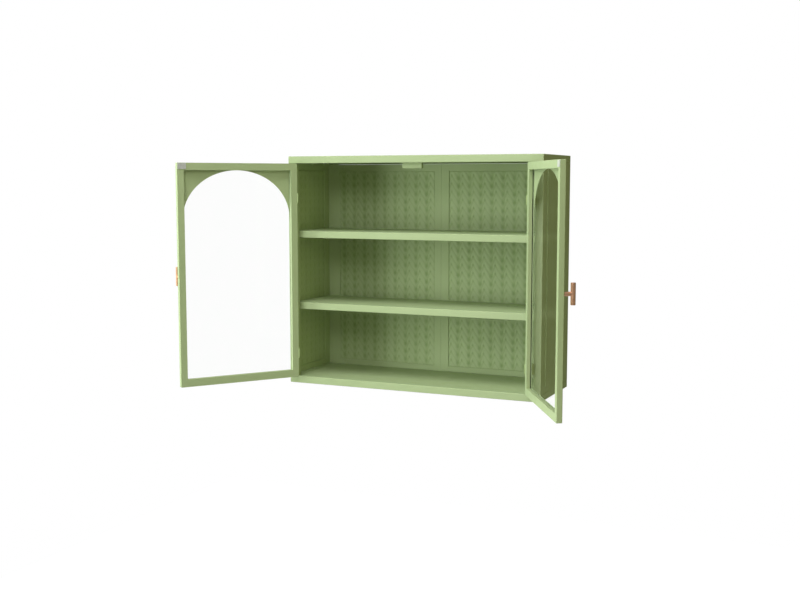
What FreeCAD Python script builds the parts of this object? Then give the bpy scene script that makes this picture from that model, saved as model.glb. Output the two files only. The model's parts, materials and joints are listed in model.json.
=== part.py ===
import FreeCAD, Part
import os
import re

# A sheet steel wall cabinet: two arched glass doors on butt hinges, two shelves,
# and pressed side and back panels.
# Frame: X to the right, Y towards the wall, Z up, millimetres.
# The origin is the centre of the four wall holes, on the wall plane.

# Driving sizes
SIZES = {
    # carcass
    "carcass_width": 696,
    "carcass_depth": 234,
    "carcass_height": 600,
    "sheet": 0.8,
    "bend_radius": 1.6,
    "fit_gap": 0.4,
    "overrun": 2,
    "pan_height": 18.5,
    "pan_lip": 20,
    "pan_front_lip": 36,
    # side panels
    "stile_width": 20,
    "stile_depth": 20,
    "stile_lip": 10,
    "side_flange": 14,
    "rear_lip": 12,
    "side_field_rise": 2,
    "side_field_front_margin": 34,
    "side_field_rear_margin": 34,
    "side_field_end_margin": 16,
    # back panels
    "back_gap": 8.7,
    "back_field_depth": 2,
    "back_field_top_margin": 18.1,
    "back_field_bottom_margin": 13,
    "back_field_side_margin": 34,
    "seam_offset": 5,
    "seam_lap": 10,
    "seam_margin_left": 18,
    "seam_margin_right": 21.5,
    # hanging rails and wall holes
    "rail_height": 12,
    "rail_end_gap": 0.5,
    "wall_hole_inset": 48,
    "wall_hole_diameter": 6.5,
    # shelves and their supports
    "shelf_thickness": 18,
    "outer_shelf_space": 177.35,
    "shelf_setback": 22,
    "shelf_lip": 14,
    "support_width": 12,
    "support_ledge": 13,
    "support_drop": 14,
    "support_thickness": 1.5,
    "peg_diameter": 4,
    "peg_head_diameter": 7,
    "peg_head_height": 1,
    # doors
    "hinge_axis_inset": 21.5,
    "hinge_axis_proud": 4,
    "door_edge_inset": 23,
    "door_centre_gap": 3,
    "door_end_gap": 0.8,
    "door_thickness": 13,
    "door_hinge_stile": 17,
    "door_free_stile": 16.9,
    "door_top_rail": 18.1,
    "door_bottom_rail": 19,
    "arch_rise": 121.6,
    "left_open_angle": 125.7,
    "right_open_angle": 119.8,
    # glass
    "glass_thickness": 3,
    "glass_bearing": 4,
    "glass_lip": 5,
    "seal_thickness": 0.5,
    "seal_setback": 0.5,
    # handles
    "handle_bar_diameter": 11,
    "handle_bar_length": 48,
    "handle_bar_chamfer": 0.6,
    "handle_reach": 21,
    "handle_edge_inset": 8.5,
    "handle_drop": 3,
    "handle_stem_diameter": 9.5,
    "handle_spigot_diameter": 5,
    "handle_spigot_depth": 3,
    # hinges
    "hinge_height": 26,
    "hinge_upper_inset": 90.2,
    "hinge_lower_inset": 62.7,
    "hinge_leaf_thickness": 1.4,
    "hinge_frame_leaf_reach": 19,
    "hinge_door_leaf_reach": 19.5,
    "hinge_door_leaf_corner": 4,
    "hinge_barrel_diameter": 7.8,
    "hinge_pin_diameter": 3,
    "hinge_pin_head_diameter": 5,
    "hinge_pin_head_height": 1,
    "knuckle_gap": 0.3,
    "running_fit": 0.05,
    "hinge_screw_spacing": 14,
    # magnetic catch
    "catch_width": 52.4,
    "catch_height": 14,
    "catch_setback": 14.5,
    "catch_thickness": 1,
    "catch_rim": 4.5,
    "catch_recess": 0.4,
    "catch_cheek": 10,
    "catch_flange": 18,
    "catch_screw_spacing": 34,
    "catch_screw_setback": 12,
    "magnet_width": 20,
    "magnet_depth": 8,
    "magnet_height": 9,
    "magnet_spacing": 26,
    # strike plates
    "strike_width": 21.5,
    "strike_height": 14.8,
    "strike_thickness": 1.2,
    "strike_corner": 2,
    "strike_inset": 0.9,
    # fasteners
    "screw_diameter": 4,
    "screw_head_diameter": 7.6,
    "screw_head_height": 2.4,
    "screw_length": 9,
    "nut_width": 7,
    "nut_height": 3.2,
    "small_screw_diameter": 3,
    "small_screw_head_diameter": 5.4,
    "small_screw_head_height": 1.6,
    "small_screw_length": 6,
    "rivet_diameter": 3.2,
    "rivet_head_diameter": 6,
    "rivet_head_height": 1,
}

# Sizes and places that follow from the driving sizes
PLACES = {
    "half_width": "carcass_width / 2",
    "half_height": "carcass_height / 2",
    "front": "-carcass_depth",
    "opening_top": "half_height - pan_height",
    "skin_inside": "half_width - sheet",
    "stile_inside": "half_width - stile_width",
    "stile_back": "front + stile_depth",
    "side_field_front": "front + side_field_front_margin",
    "side_field_back": "-side_field_rear_margin",
    "side_field_top": "opening_top - side_field_end_margin",
    "back_face": "-back_gap - sheet",
    "back_top": "opening_top - fit_gap",
    "back_side": "skin_inside - fit_gap",
    "back_field_top": "opening_top - back_field_top_margin",
    "back_field_bottom": "-opening_top + back_field_bottom_margin",
    "back_field_side": "skin_inside - back_field_side_margin",
    "seam": "-seam_offset",
    "rail_z": "opening_top - rail_end_gap - rail_height / 2",
    "wall_hole_x": "half_width - wall_hole_inset",
    "shelf_z": "opening_top - outer_shelf_space - shelf_thickness / 2",
    "shelf_front": "front + shelf_setback",
    "shelf_back": "back_face - fit_gap",
    "shelf_side": "skin_inside - fit_gap",
    "frame_screw_x": "skin_inside - side_flange / 2",
    "support_front_y": "(stile_back + side_field_front) / 2",
    "support_back_y": "side_field_back / 2 + back_face / 2",
    "hinge_x": "half_width - hinge_axis_inset",
    "hinge_y": "front - hinge_axis_proud",
    "door_hinge_edge": "door_edge_inset - hinge_axis_inset",
    "door_free_edge": "hinge_x - door_centre_gap / 2",
    "door_top": "opening_top - door_end_gap",
    "door_front": "hinge_axis_proud",
    "door_back": "door_front + door_thickness",
    "window_hinge_side": "door_hinge_edge + door_hinge_stile",
    "window_free_side": "door_free_edge - door_free_stile",
    "window_top": "door_top - door_top_rail",
    "window_bottom": "-door_top + door_bottom_rail",
    "window_middle": "(window_hinge_side + window_free_side) / 2",
    "arch_half_width": "(window_free_side - window_hinge_side) / 2",
    "arch_spring": "window_top - arch_rise",
    "glass_front": "door_front + sheet + seal_thickness",
    "glass_back": "glass_front + glass_thickness",
    "handle_x": "door_free_edge - handle_edge_inset",
    "handle_axis": "door_front - handle_reach",
    "frame_leaf_edge": "stile_width - hinge_axis_inset",
    "barrel_radius": "hinge_barrel_diameter / 2",
    "barrel_wall_middle": "(hinge_barrel_diameter + hinge_pin_diameter) / 4",
    "leaf_start": "barrel_radius + fit_gap",
    "knuckle_end": "hinge_height / 6 - knuckle_gap / 2",
    "knuckle_start": "hinge_height / 6 + knuckle_gap / 2",
    "catch_face": "front + catch_setback",
    "catch_bottom": "opening_top - catch_height",
    "catch_screw_y": "catch_face + catch_screw_setback",
    "strike_x": "door_free_edge - strike_inset - strike_width / 2",
    "strike_z": "door_top - strike_inset - strike_height / 2",
}

# Forms of fasteners, as shares of a diameter
HEAD_TOP_SHARE = 0.9
DRIVE_SHARE = 0.8
RIVET_TOP_SHARE = 0.7

# Places of repeated fasteners, as shares of the length that they hold
FRAME_SCREW_SHARES = (0.2, 0.5, 0.8)
SIDE_RIVET_SHARES = (-0.8, -0.4, 0, 0.4, 0.8)
SEAM_RIVET_SHARES = (-0.9, -0.6, -0.16, 0.16, 0.6, 0.9)

LEFT = -1
RIGHT = 1
SIDES = {"left": LEFT, "right": RIGHT}
HINGES = {"upper": "door_top - hinge_upper_inset", "lower": "-door_top + hinge_lower_inset"}

ALONG_Z = FreeCAD.Vector(0, 0, 1)
TURNS = {
    "+x": FreeCAD.Rotation(ALONG_Z, FreeCAD.Vector(1, 0, 0)),
    "-x": FreeCAD.Rotation(ALONG_Z, FreeCAD.Vector(-1, 0, 0)),
    "+y": FreeCAD.Rotation(ALONG_Z, FreeCAD.Vector(0, 1, 0)),
    "-y": FreeCAD.Rotation(ALONG_Z, FreeCAD.Vector(0, -1, 0)),
    "+z": FreeCAD.Rotation(),
    "-z": FreeCAD.Rotation(FreeCAD.Vector(1, 0, 0), 180),
}

document = FreeCAD.newDocument("WallCabinet")
sub_parts = []


# Spreadsheets and expressions
def formula(text):
    """Points each size or place in a formula to its cell."""
    def cell(match):
        name = match.group()
        if name in SIZES:
            return "Sizes." + name
        if name in PLACES:
            return "Places." + name
        return name
    return re.sub(r"[a-z][a-z_]*", cell, text)


def fill_sheet(name, rows, prefix):
    sheet = document.addObject("Spreadsheet::Sheet", name)
    for number, (alias, value) in enumerate(rows.items(), start=1):
        sheet.set(f"A{number}", alias)
        sheet.set(f"B{number}", prefix + formula(str(value)).replace(name + ".", ""))
        sheet.setAlias(f"B{number}", alias)
    document.recompute()


def bind(thing, name, text):
    thing.setExpression(name, formula(text))


def mirrored(side, low, high):
    """A span given outwards from the middle, on the left or on the right."""
    if side == RIGHT:
        return low, high
    return f"-({high})", f"-({low})"


def outward(side):
    return "+x" if side == RIGHT else "-x"


def inward(side):
    return "-x" if side == RIGHT else "+x"


# Shapes inside a body
def new_body(label):
    body = document.addObject("PartDesign::Body", label)
    body.Label = label
    return body


def set_block(feature, x, y, z):
    for size, axis, (low, high) in zip(("Length", "Width", "Height"), "xyz", (x, y, z)):
        bind(feature, size, f"({high}) - ({low})")
        bind(feature, "Placement.Base." + axis, low)


def add_block(body, x, y, z):
    feature = body.newObject("PartDesign::AdditiveBox", "Block")
    set_block(feature, x, y, z)
    return feature


def cut_block(body, x, y, z):
    set_block(body.newObject("PartDesign::SubtractiveBox", "Recess"), x, y, z)


def set_rod(feature, direction, seat, start, end, diameter):
    """A rod along a direction, from start to end measured from its seat."""
    bind(feature, "Radius", f"({diameter}) / 2")
    place_rod(feature, direction, seat, start, end)


def place_rod(feature, direction, seat, start, end):
    sign, letter = direction
    bind(feature, "Height", f"({end}) - ({start})")
    feature.Placement = FreeCAD.Placement(FreeCAD.Vector(), TURNS[direction])
    for axis, text in zip("xyz", seat):
        bind(feature, "Placement.Base." + axis, f"({text}) {sign} ({start})" if axis == letter else text)


def add_rod(body, direction, seat, start, end, diameter):
    rod = body.newObject("PartDesign::AdditiveCylinder", "Rod")
    set_rod(rod, direction, seat, start, end, diameter)


def cut_rod(body, direction, seat, start, end, diameter):
    bore = body.newObject("PartDesign::SubtractiveCylinder", "Bore")
    set_rod(bore, direction, seat, start, end, diameter)


def drill(body, direction, seat, diameter, depth="overrun"):
    """A hole with a running fit, from above its seat to a depth below it."""
    cut_rod(body, direction, seat, "-overrun", depth, f"{diameter} + 2 * running_fit")


def cut_cone(body, direction, seat, start, end, first, last):
    cone = body.newObject("PartDesign::SubtractiveCone", "Countersink")
    bind(cone, "Radius1", f"({first}) / 2")
    bind(cone, "Radius2", f"({last}) / 2")
    place_rod(cone, direction, seat, start, end)


def round_edges(body, feature, radius):
    fillet = body.newObject("PartDesign::Fillet", "Bend")
    fillet.Base = (feature, [""])
    fillet.UseAllEdges = True
    bind(fillet, "Radius", radius)


def folded_edge():
    """The outer radius of a fold, within what the sheet allows."""
    return "min(bend_radius; 2 * sheet)"


# Loose solids, for turned pieces and fasteners
def solid_rod(direction, seat, start, end, first, last=None):
    last = last or first
    cone = document.addObject("Part::Cylinder" if first == last else "Part::Cone", "Turned")
    if first == last:
        bind(cone, "Radius", f"({first}) / 2")
    else:
        bind(cone, "Radius1", f"({first}) / 2")
        bind(cone, "Radius2", f"({last}) / 2")
    place_rod(cone, direction, seat, start, end)
    return cone


def fused(shapes):
    fusion = document.addObject("Part::MultiFuse", "Fused")
    fusion.Shapes = shapes
    return fusion


def cut_from(base, tool):
    cut = document.addObject("Part::Cut", "Cut")
    cut.Base = base
    cut.Tool = tool
    return cut


def grouped(label, shapes):
    group = document.addObject("Part::MultiFuse", label)
    group.Label = label
    group.Shapes = shapes
    return group


def named(label, shape):
    shape.Label = label
    return shape


def screw(direction, seat):
    """A machine screw with a raised head; the seat is the face under the head."""
    head = solid_rod(direction, seat, "-screw_head_height", "0", f"screw_head_diameter * {HEAD_TOP_SHARE}",
                     "screw_head_diameter")
    shank = solid_rod(direction, seat, "0", "screw_length", "screw_diameter")
    drive = solid_rod(direction, seat, "-screw_head_height", "-screw_head_height / 2",
                      f"screw_diameter * {DRIVE_SHARE}")
    return cut_from(fused([head, shank]), drive)


def small_screw(direction, seat):
    """A small raised-head screw; the seat is the face under the head."""
    head = solid_rod(direction, seat, "-small_screw_head_height", "0", "small_screw_head_diameter")
    shank = solid_rod(direction, seat, "0", "small_screw_length", "small_screw_diameter")
    drive = solid_rod(direction, seat, "-small_screw_head_height", "-small_screw_head_height / 2",
                      f"small_screw_diameter * {DRIVE_SHARE}")
    return cut_from(fused([head, shank]), drive)


def flush_screw(direction, seat, depth):
    """A countersunk screw; the seat is the face that the head lies flush with."""
    head = solid_rod(direction, seat, "0", depth, "small_screw_head_diameter", "small_screw_diameter")
    shank = solid_rod(direction, seat, depth, "small_screw_length", "small_screw_diameter")
    drive = solid_rod(direction, seat, "0", f"({depth}) / 2", f"small_screw_diameter * {DRIVE_SHARE}")
    return cut_from(fused([head, shank]), drive)


def flush_seat(body, direction, seat, depth):
    """The countersunk hole of a flush screw."""
    cut_cone(body, direction, seat, "0", depth, "small_screw_head_diameter + 2 * running_fit",
             "small_screw_diameter + 2 * running_fit")
    drill(body, direction, seat, "small_screw_diameter", f"{depth} + overrun")


def rivet(direction, seat, grip):
    """A rivet whose domed head lies at its seat and whose tail ends flush after the grip."""
    head = solid_rod(direction, seat, "-rivet_head_height", "0", f"rivet_head_diameter * {RIVET_TOP_SHARE}",
                     "rivet_head_diameter")
    shank = solid_rod(direction, seat, "0", grip, "rivet_diameter")
    return fused([head, shank])


def nut(direction, seat):
    """A hexagon nut; the seat is the face that it is tightened on."""
    prism = document.addObject("Part::Prism", "Nut")
    prism.Polygon = 6
    bind(prism, "Circumradius", "nut_width / sqrt(3)")
    place_rod(prism, direction, seat, "0", "nut_height")
    thread = solid_rod(direction, seat, "-overrun", "nut_height + overrun",
                       "screw_diameter + 2 * running_fit")
    return cut_from(prism, thread)


# Repeated places
def frame_screw_places():
    for side in SIDES.values():
        for share in FRAME_SCREW_SHARES:
            yield f"{side} * frame_screw_x", f"front * {share}"


def wall_hole_places():
    for across in SIDES.values():
        for up in (-1, 1):
            yield f"{across} * wall_hole_x", f"{up} * rail_z"


def seam_rivet_places():
    for share in SEAM_RIVET_SHARES:
        yield "seam + seam_lap / 2", f"{share} * back_field_top"


def side_rivet_places(side):
    for share in SIDE_RIVET_SHARES:
        yield f"{side} * (stile_inside - rear_lip / 2)", f"{share} * back_field_top"


def support_places(side):
    for up in (-1, 1):
        for y in ("support_front_y", "support_back_y"):
            yield y, f"{up} * shelf_z - shelf_thickness / 2"


def peg_seat(side, y, ledge_z):
    return f"{side} * (skin_inside - support_thickness)", y, f"{ledge_z} - support_drop / 2"


# Carcass
def tray(label, half_x, y, z, side_lip, front_lip, rear_lip):
    """A pan of folded sheet, flat on top and open below inside its lips."""
    body = new_body(label)
    low_y, high_y = y
    low_z, high_z = z
    block = add_block(body, (f"-({half_x})", half_x), y, z)
    round_edges(body, block, folded_edge())
    cut_block(body, (f"-({half_x}) + sheet", f"{half_x} - sheet"),
              (f"{low_y} + sheet", f"{high_y} - sheet"), (f"{low_z} + sheet", f"{high_z} - sheet"))
    cut_block(body, (f"-({half_x}) + {side_lip}", f"{half_x} - {side_lip}"),
              (f"{low_y} + {front_lip}", f"{high_y} - {rear_lip}"),
              (f"{low_z} - overrun", f"{low_z} + 2 * sheet"))
    return body


def top_panel():
    body = tray("top_panel", "half_width", ("front", "0"), ("opening_top", "half_height"),
                "pan_lip", "pan_front_lip", "pan_lip")
    for x, y in frame_screw_places():
        cut_rod(body, "+z", (x, y, "opening_top"), "-overrun", "overrun", "screw_diameter + fit_gap")
    for across in SIDES.values():
        seat = (f"{across} * catch_screw_spacing / 2", "catch_screw_y", "opening_top")
        drill(body, "+z", seat, "small_screw_diameter")
    sub_parts.append(body)


def bottom_panel():
    body = tray("bottom_panel", "half_width", ("front", "0"), ("-half_height", "-opening_top"),
                "pan_lip", "pan_lip", "pan_lip")
    for x, y in frame_screw_places():
        cut_rod(body, "-z", (x, y, "-opening_top"), "-overrun", "overrun", "screw_diameter + fit_gap")
    sub_parts.append(body)


def side_panel(name, side):
    """A side wall with its front stile, rear fold, end flanges and raised field."""
    body = new_body(f"side_panel_{name}")
    ends = ("-opening_top", "opening_top")
    long_ends = ("-opening_top - 2 * bend_radius", "opening_top + 2 * bend_radius")
    block = add_block(body, mirrored(side, "stile_inside", "half_width"), ("front", "0"), long_ends)
    round_edges(body, block, folded_edge())
    wide = mirrored(side, "stile_inside - overrun", "half_width + overrun")
    whole_depth = ("front - overrun", "overrun")
    cut_block(body, wide, whole_depth, ("opening_top", "opening_top + 2 * bend_radius + overrun"))
    cut_block(body, wide, whole_depth, ("-opening_top - 2 * bend_radius - overrun", "-opening_top"))
    cut_block(body, mirrored(side, "stile_inside + sheet", "skin_inside"), ("front + sheet", "-sheet"),
              ("-opening_top - overrun", "opening_top + overrun"))
    cut_block(body, mirrored(side, "stile_inside - overrun", "stile_inside + 2 * sheet"),
              ("stile_back", "-back_gap"), ("-opening_top - overrun", "opening_top + overrun"))
    add_block(body, mirrored(side, "stile_inside", "stile_inside + stile_lip"),
              ("stile_back - sheet", "stile_back"), ends)
    add_block(body, mirrored(side, "stile_inside - rear_lip", "stile_inside + sheet"),
              ("-back_gap", "-back_gap + sheet"), ends)
    flange_x = mirrored(side, "skin_inside - side_flange", "skin_inside + sheet / 2")
    flange_y = ("stile_back + fit_gap", "back_face - fit_gap")
    add_block(body, flange_x, flange_y, ("opening_top - sheet", "opening_top"))
    add_block(body, flange_x, flange_y, ("-opening_top", "-opening_top + sheet"))
    add_block(body, mirrored(side, "skin_inside", "half_width + side_field_rise"),
              ("side_field_front", "side_field_back"), ("-side_field_top", "side_field_top"))
    cut_block(body, mirrored(side, "skin_inside - overrun", "skin_inside + side_field_rise"),
              ("side_field_front + sheet", "side_field_back - sheet"),
              ("-side_field_top + sheet", "side_field_top - sheet"))
    for x, y in frame_screw_places():
        if x.startswith(str(side) + " "):
            for z in ends:
                cut_rod(body, "+z", (x, y, z), "-overrun", "overrun", "screw_diameter + fit_gap")
    for y, ledge_z in support_places(side):
        drill(body, outward(side), peg_seat(side, y, ledge_z), "peg_diameter",
              "support_thickness + sheet + overrun")
    for x, z in side_rivet_places(side):
        drill(body, "+y", (x, "-back_gap", z), "rivet_diameter")
    for height in HINGES.values():
        for up in (-1, 1):
            seat = (f"{side} * stile_inside", hinge_screw_y("hinge_frame_leaf_reach"),
                    f"{height} + {up} * hinge_screw_spacing / 2")
            drill(body, outward(side), seat, "small_screw_diameter")
    sub_parts.append(body)


def back_plate(label, x, field_x):
    body = new_body(label)
    low_x, high_x = x
    low_field, high_field = field_x
    add_block(body, x, ("back_face", "-back_gap"), ("-back_top", "back_top"))
    add_block(body, field_x, ("back_face", "-back_gap + back_field_depth"),
              ("back_field_bottom", "back_field_top"))
    cut_block(body, (f"{low_field} + sheet", f"{high_field} - sheet"),
              ("back_face - overrun", "back_face + back_field_depth"),
              ("back_field_bottom + sheet", "back_field_top - sheet"))
    return body


def drill_back(body, side):
    for x, z in wall_hole_places():
        if x.startswith(str(side) + " "):
            cut_rod(body, "+y", (x, "back_face", z), "-overrun", "sheet + overrun", "wall_hole_diameter")
    for x, z in list(side_rivet_places(side)) + list(seam_rivet_places()):
        drill(body, "+y", (x, "back_face", z), "rivet_diameter", "2 * sheet + overrun")


def back_panel_left():
    body = back_plate("back_panel_left", ("-back_side", "seam - fit_gap"),
                      ("-back_field_side", "seam - seam_margin_left"))
    add_block(body, ("seam - fit_gap - 2 * sheet", "seam + seam_lap"), ("-back_gap", "-back_gap + sheet"),
              ("-back_top", "back_top"))
    drill_back(body, LEFT)
    sub_parts.append(body)


def back_panel_right():
    body = back_plate("back_panel_right", ("seam", "back_side"),
                      ("seam + seam_margin_right", "back_field_side"))
    drill_back(body, RIGHT)
    sub_parts.append(body)


def back_rivets():
    """Rivets with their heads behind the panels and their tails flush inside the cabinet."""
    seam = []
    for x, z in seam_rivet_places():
        seam.append(rivet("-y", (x, "-back_gap + sheet", z), "2 * sheet"))
    sub_parts.append(grouped("back_seam_rivets", seam))
    edge = []
    for side in SIDES.values():
        for x, z in side_rivet_places(side):
            edge.append(rivet("-y", (x, "-back_gap + sheet", z), "2 * sheet"))
    sub_parts.append(grouped("back_panel_rivets", edge))


def hanging_rail(name, up):
    """A channel between the back panels and the wall, with the two wall holes of its height."""
    body = new_body(f"hanging_rail_{name}")
    low = f"{up} * rail_z - rail_height / 2"
    high = f"{up} * rail_z + rail_height / 2"
    add_block(body, ("-stile_inside", "stile_inside"), ("-back_gap + sheet", "0"), (low, high))
    cut_block(body, ("-stile_inside - overrun", "stile_inside + overrun"),
              ("-back_gap - overrun", "-sheet"), (f"{low} + sheet", f"{high} - sheet"))
    for across in SIDES.values():
        seat = (f"{across} * wall_hole_x", "0", f"{up} * rail_z")
        cut_rod(body, "-y", seat, "-overrun", "overrun", "wall_hole_diameter")
    sub_parts.append(body)


def frame_fasteners():
    """Screws that hold the side panels to the top and bottom panels, and their nuts."""
    for name, up in (("top", 1), ("bottom", -1)):
        direction = "+z" if up > 0 else "-z"
        screws = []
        nuts = []
        for x, y in frame_screw_places():
            screws.append(screw(direction, (x, y, f"{up} * (opening_top - sheet)")))
            nuts.append(nut(direction, (x, y, f"{up} * (opening_top + sheet)")))
        sub_parts.append(grouped(f"frame_screws_{name}", screws))
        sub_parts.append(grouped(f"frame_nuts_{name}", nuts))


# Shelves
def shelf(name, up):
    middle = f"{up} * shelf_z"
    body = tray(f"shelf_{name}", "shelf_side", ("shelf_front", "shelf_back"),
                (f"{middle} - shelf_thickness / 2", f"{middle} + shelf_thickness / 2"),
                "shelf_lip", "shelf_lip", "shelf_lip")
    sub_parts.append(body)


def shelf_support(side, y, ledge_z):
    """A small angle whose clinched peg goes through the side wall."""
    body = new_body("shelf_support")
    width = (f"{y} - support_width / 2", f"{y} + support_width / 2")
    add_block(body, mirrored(side, "skin_inside - support_ledge", "skin_inside"), width,
              (f"{ledge_z} - support_thickness", ledge_z))
    add_block(body, mirrored(side, "skin_inside - support_thickness", "skin_inside"), width,
              (f"{ledge_z} - support_drop", ledge_z))
    seat = peg_seat(side, y, ledge_z)
    grip = "support_thickness + sheet"
    add_rod(body, outward(side), seat, "0", f"{grip} + peg_head_height / 2", "peg_diameter")
    add_rod(body, outward(side), seat, grip, f"{grip} + peg_head_height", "peg_head_diameter")
    return body


def shelf_supports():
    solids = []
    for side in SIDES.values():
        for y, ledge_z in support_places(side):
            solids.append(shelf_support(side, y, ledge_z))
    sub_parts.append(grouped("shelf_supports", solids))


# Magnetic catch
def catch():
    bracket = new_body("catch_bracket")
    half = "catch_width / 2"
    add_block(bracket, (f"-{half}", half), ("catch_face", "catch_face + catch_thickness"),
              ("catch_bottom", "opening_top"))
    add_block(bracket, (f"-{half}", half), ("catch_face", "catch_face + catch_flange"),
              ("opening_top - catch_thickness", "opening_top"))
    for side in SIDES.values():
        add_block(bracket, mirrored(side, f"{half} - catch_thickness", half),
                  ("catch_face", "catch_face + catch_cheek"), ("catch_bottom", "opening_top"))
    cut_block(bracket, (f"-{half} + catch_rim", f"{half} - catch_rim"),
              ("catch_face - overrun", "catch_face + catch_recess"),
              ("catch_bottom + catch_rim", "opening_top - catch_thickness"))
    screws = []
    magnets = []
    for side in SIDES.values():
        seat = (f"{side} * catch_screw_spacing / 2", "catch_screw_y", "opening_top - catch_thickness")
        drill(bracket, "+z", seat, "small_screw_diameter")
        screws.append(small_screw("+z", seat))
        magnet = document.addObject("Part::Box", "Magnet")
        middle = f"{side} * magnet_spacing / 2"
        centre_z = "(catch_bottom + opening_top - catch_thickness) / 2"
        set_block(magnet, (f"{middle} - magnet_width / 2", f"{middle} + magnet_width / 2"),
                  ("catch_face + catch_thickness", "catch_face + catch_thickness + magnet_depth"),
                  (f"{centre_z} - magnet_height / 2", f"{centre_z} + magnet_height / 2"))
        magnets.append(magnet)
    sub_parts.append(bracket)
    sub_parts.append(grouped("catch_magnets", magnets))
    sub_parts.append(grouped("catch_screws", screws))


# Hinges, in a frame whose origin lies on the hinge axis; x runs from the axis to the cabinet's middle
def door_turn(side):
    return "-left_open_angle" if side == LEFT else "right_open_angle"


def hang(piece, side, turned=True):
    """Puts a piece on its hinge axis, turned open with its door."""
    bind(piece, "Placement.Base.x", f"{side} * hinge_x")
    bind(piece, "Placement.Base.y", "hinge_y")
    if turned:
        bind(piece, "Placement.Rotation.Angle", door_turn(side))
    return piece


def to_middle(side, low, high):
    """A span measured from the hinge axis towards the cabinet's middle."""
    return mirrored(-side, low, high)


def hinge_screw_y(reach):
    """The place of the screws along a leaf, in the cabinet's frame."""
    return f"hinge_y + (leaf_start + {reach}) / 2"


def hinge_screw_seats(side, height, reach, face):
    for up in (-1, 1):
        yield (f"{-side} * ({face})", f"(leaf_start + {reach}) / 2",
               f"{height} + {up} * hinge_screw_spacing / 2")


def hinge_frame_leaf(name, side, level, height):
    body = new_body(f"hinge_frame_leaf_{name}_{level}")
    plate = to_middle(side, "frame_leaf_edge", "frame_leaf_edge + hinge_leaf_thickness")
    add_block(body, plate, ("leaf_start", "hinge_frame_leaf_reach"),
              (f"{height} - hinge_height / 2", f"{height} + hinge_height / 2"))
    for low, high in (("-hinge_height / 2", "-knuckle_start"), ("knuckle_start", "hinge_height / 2")):
        add_block(body, plate, ("barrel_wall_middle", "leaf_start"),
                  (f"{height} + {low}", f"{height} + {high}"))
        add_rod(body, "+z", ("0", "0", height), low, high, "hinge_barrel_diameter")
    cut_rod(body, "+z", ("0", "0", height), "-hinge_height", "hinge_height",
            "hinge_pin_diameter + 2 * running_fit")
    for seat in hinge_screw_seats(side, height, "hinge_frame_leaf_reach",
                                  "frame_leaf_edge + hinge_leaf_thickness"):
        flush_seat(body, outward(side), seat, "hinge_leaf_thickness")
    sub_parts.append(hang(body, side, turned=False))


def hinge_pin(name, side, level, height):
    seat = ("0", "0", f"{height} + hinge_height / 2")
    pin = fused([
        solid_rod("-z", seat, "0", "hinge_height", "hinge_pin_diameter"),
        solid_rod("+z", seat, "0", "hinge_pin_head_height", "hinge_pin_head_diameter"),
    ])
    named(f"hinge_pin_{name}_{level}", pin)
    sub_parts.append(hang(pin, side, turned=False))


def hinge_door_leaf(name, side, level, height):
    """The leaf on the door's edge, whose rounded end reaches past the door's back."""
    body = new_body(f"hinge_door_leaf_{name}_{level}")
    face = "door_hinge_edge - hinge_leaf_thickness"
    margin = "2 * hinge_door_leaf_corner"
    z = (f"{height} - hinge_height / 2", f"{height} + hinge_height / 2")
    block = add_block(body, to_middle(side, f"{face} - {margin}", f"door_hinge_edge + {margin}"),
                      ("leaf_start", "hinge_door_leaf_reach"), z)
    round_edges(body, block, "hinge_door_leaf_corner")
    wide_y = ("leaf_start - overrun", "hinge_door_leaf_reach + overrun")
    wide_z = (f"{height} - hinge_height", f"{height} + hinge_height")
    cut_block(body, to_middle(side, f"{face} - {margin} - overrun", face), wide_y, wide_z)
    cut_block(body, to_middle(side, "door_hinge_edge", f"door_hinge_edge + {margin} + overrun"), wide_y, wide_z)
    add_block(body, to_middle(side, face, "door_hinge_edge"), ("barrel_wall_middle", "leaf_start + fit_gap"),
              (f"{height} - knuckle_end", f"{height} + knuckle_end"))
    add_rod(body, "+z", ("0", "0", height), "-knuckle_end", "knuckle_end", "hinge_barrel_diameter")
    cut_rod(body, "+z", ("0", "0", height), "-hinge_height", "hinge_height",
            "hinge_pin_diameter + 2 * running_fit")
    for seat in hinge_screw_seats(side, height, "hinge_door_leaf_reach", face):
        flush_seat(body, inward(side), seat, "hinge_leaf_thickness")
    sub_parts.append(hang(body, side))


def hinge_screws(name, side):
    frame_screws = []
    door_screws = []
    for height in HINGES.values():
        for seat in hinge_screw_seats(side, height, "hinge_frame_leaf_reach",
                                      "frame_leaf_edge + hinge_leaf_thickness"):
            frame_screws.append(flush_screw(outward(side), seat, "hinge_leaf_thickness"))
        for seat in hinge_screw_seats(side, height, "hinge_door_leaf_reach",
                                      "door_hinge_edge - hinge_leaf_thickness"):
            door_screws.append(flush_screw(inward(side), seat, "hinge_leaf_thickness"))
    sub_parts.append(hang(grouped(f"hinge_frame_screws_{name}", frame_screws), side, turned=False))
    sub_parts.append(hang(grouped(f"hinge_door_screws_{name}", door_screws), side))


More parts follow.
